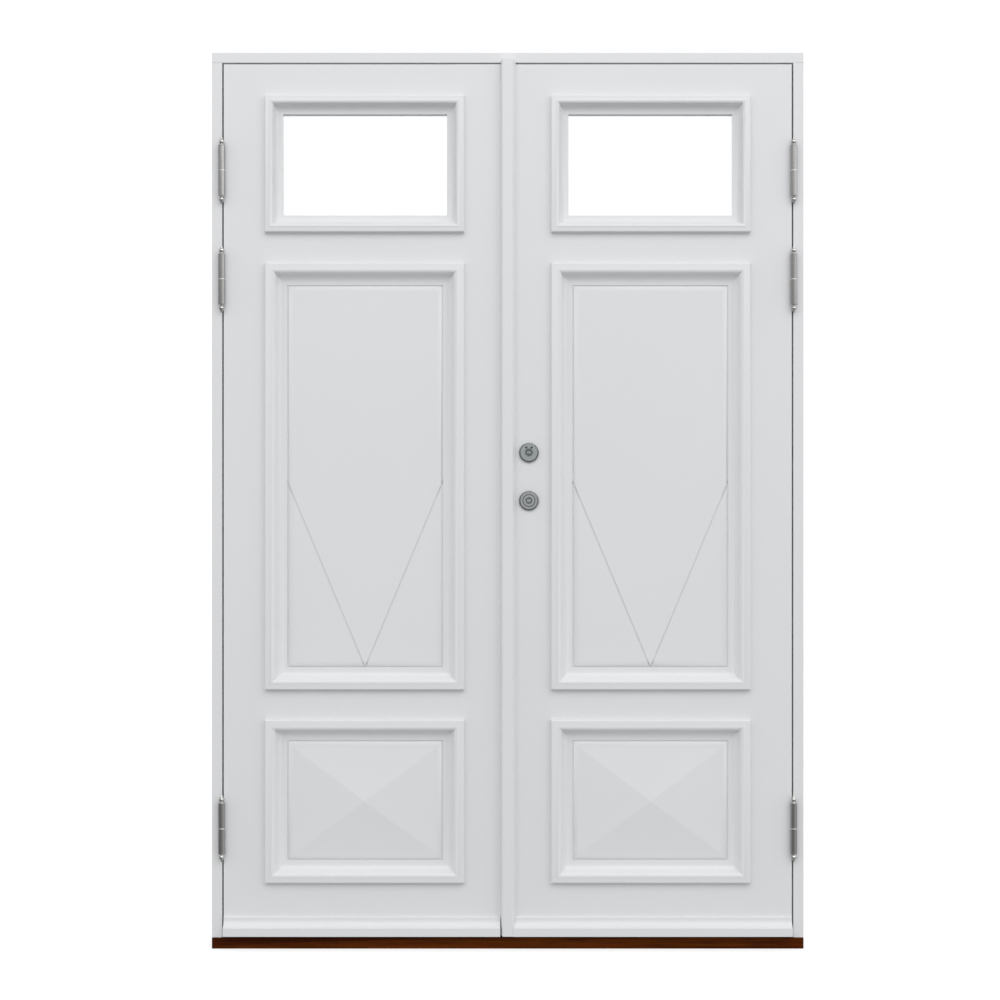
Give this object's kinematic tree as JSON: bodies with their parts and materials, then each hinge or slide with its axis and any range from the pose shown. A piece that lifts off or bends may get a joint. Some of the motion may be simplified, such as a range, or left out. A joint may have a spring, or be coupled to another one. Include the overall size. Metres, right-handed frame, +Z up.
{
  "type": "double entrance door",
  "caption": "White painted pair of entrance doors in a frame on a hardwood threshold, with small windows, panels with mouldings, barrel hinges and a double lock.",
  "frame": {"origin": "middle of the underside of the threshold, at half the depth of the frame", "axes": "+X to the right seen from outside, +Y from outside to inside, +Z up"},
  "size_m": [1.38, 0.129, 2.09],
  "materials": {
    "white_paint": "satin white paint on wood",
    "hardwood": "oiled dark red-brown hardwood",
    "hinge_steel": "polished plated steel",
    "lock_steel": "satin steel",
    "glass": "clear float glass",
    "seal": "soft pale grey rubber",
    "spacer": "plain aluminium bar"
  },
  "bodies": {
    "frame": {"threshold": "hardwood", "left_jamb": "white_paint", "right_jamb": "white_paint", "head": "white_paint", "frame_seals": "seal", "left_frame_hinges": "hinge_steel", "right_frame_hinges": "hinge_steel", "hinge_pins": "hinge_steel", "hinge_rings": "hinge_steel", "frame_hinge_screws": "lock_steel", "bolt_keepers": "lock_steel"},
    "left_leaf": {"left_hinge_stile": "white_paint", "left_meeting_stile": "white_paint", "left_top_rail": "white_paint", "left_window_rail": "white_paint", "left_lower_rail": "white_paint", "left_bottom_rail": "white_paint", "left_middle_panel": "white_paint", "left_bottom_panel": "white_paint", "left_window_moulding": "white_paint", "left_middle_moulding": "white_paint", "left_bottom_moulding": "white_paint", "left_inner_beads": "white_paint", "left_panes": "glass", "left_spacer": "spacer", "left_weather_bar": "white_paint", "left_leaf_hinges": "hinge_steel", "left_hinge_tips": "hinge_steel", "left_hinge_screws": "lock_steel", "meeting_seal": "seal", "strike_plate": "lock_steel", "bolt_plates": "lock_steel"},
    "right_leaf": {"right_hinge_stile": "white_paint", "right_meeting_stile": "white_paint", "right_top_rail": "white_paint", "right_window_rail": "white_paint", "right_lower_rail": "white_paint", "right_bottom_rail": "white_paint", "right_middle_panel": "white_paint", "right_bottom_panel": "white_paint", "right_window_moulding": "white_paint", "right_middle_moulding": "white_paint", "right_bottom_moulding": "white_paint", "right_inner_beads": "white_paint", "right_panes": "glass", "right_spacer": "spacer", "right_weather_bar": "white_paint", "right_leaf_hinges": "hinge_steel", "right_hinge_tips": "hinge_steel", "right_hinge_screws": "lock_steel", "cover_strip": "white_paint", "lock_case": "lock_steel", "lock_discs": "lock_steel", "lock_bodies": "lock_steel"},
    "latch": {"latch_bolt": "lock_steel"},
    "deadbolt": {"dead_bolt": "lock_steel"},
    "upper_turn": {"upper_core": "lock_steel"},
    "lower_turn": {"lower_core": "lock_steel"},
    "top_flush": {"top_bolt": "lock_steel"},
    "bottom_flush": {"bottom_bolt": "lock_steel"}
  },
  "joints": [
    {"name": "left_leaf_swing", "type": "hinge", "parent": "frame", "child": "left_leaf", "pos_m": [-0.6655, -0.062, 1], "axis": [0, 0, -1], "range_deg": [0, 110]},
    {"name": "right_leaf_swing", "type": "hinge", "parent": "frame", "child": "right_leaf", "pos_m": [0.6655, -0.062, 1], "axis": [0, 0, 1], "range_deg": [0, 110]},
    {"name": "latch_bolt_slide", "type": "slide", "parent": "right_leaf", "child": "latch", "axis": [-1, 0, 0], "range_m": [0, 0.014]},
    {"name": "dead_bolt_slide", "type": "slide", "parent": "right_leaf", "child": "deadbolt", "axis": [-1, 0, 0], "range_m": [0, 0.02]},
    {"name": "upper_core_turn", "type": "hinge", "parent": "right_leaf", "child": "upper_turn", "pos_m": [0.0494, 0, 1.157], "axis": [0, 1, 0], "range_deg": [0, 90]},
    {"name": "lower_core_turn", "type": "hinge", "parent": "right_leaf", "child": "lower_turn", "pos_m": [0.0494, 0, 1.045], "axis": [0, 1, 0], "range_deg": [0, 90]},
    {"name": "top_bolt_slide", "type": "slide", "parent": "left_leaf", "child": "top_flush", "axis": [0, 0, 1], "range_m": [0, 0.016]},
    {"name": "bottom_bolt_slide", "type": "slide", "parent": "left_leaf", "child": "bottom_flush", "axis": [0, 0, -1], "range_m": [0, 0.016]}
  ],
  "couplings": [
    {"joint": "upper_core_turn", "follows": "latch_bolt_slide", "rad_per_m": 112},
    {"joint": "lower_core_turn", "follows": "dead_bolt_slide", "rad_per_m": 78.5}
  ]
}
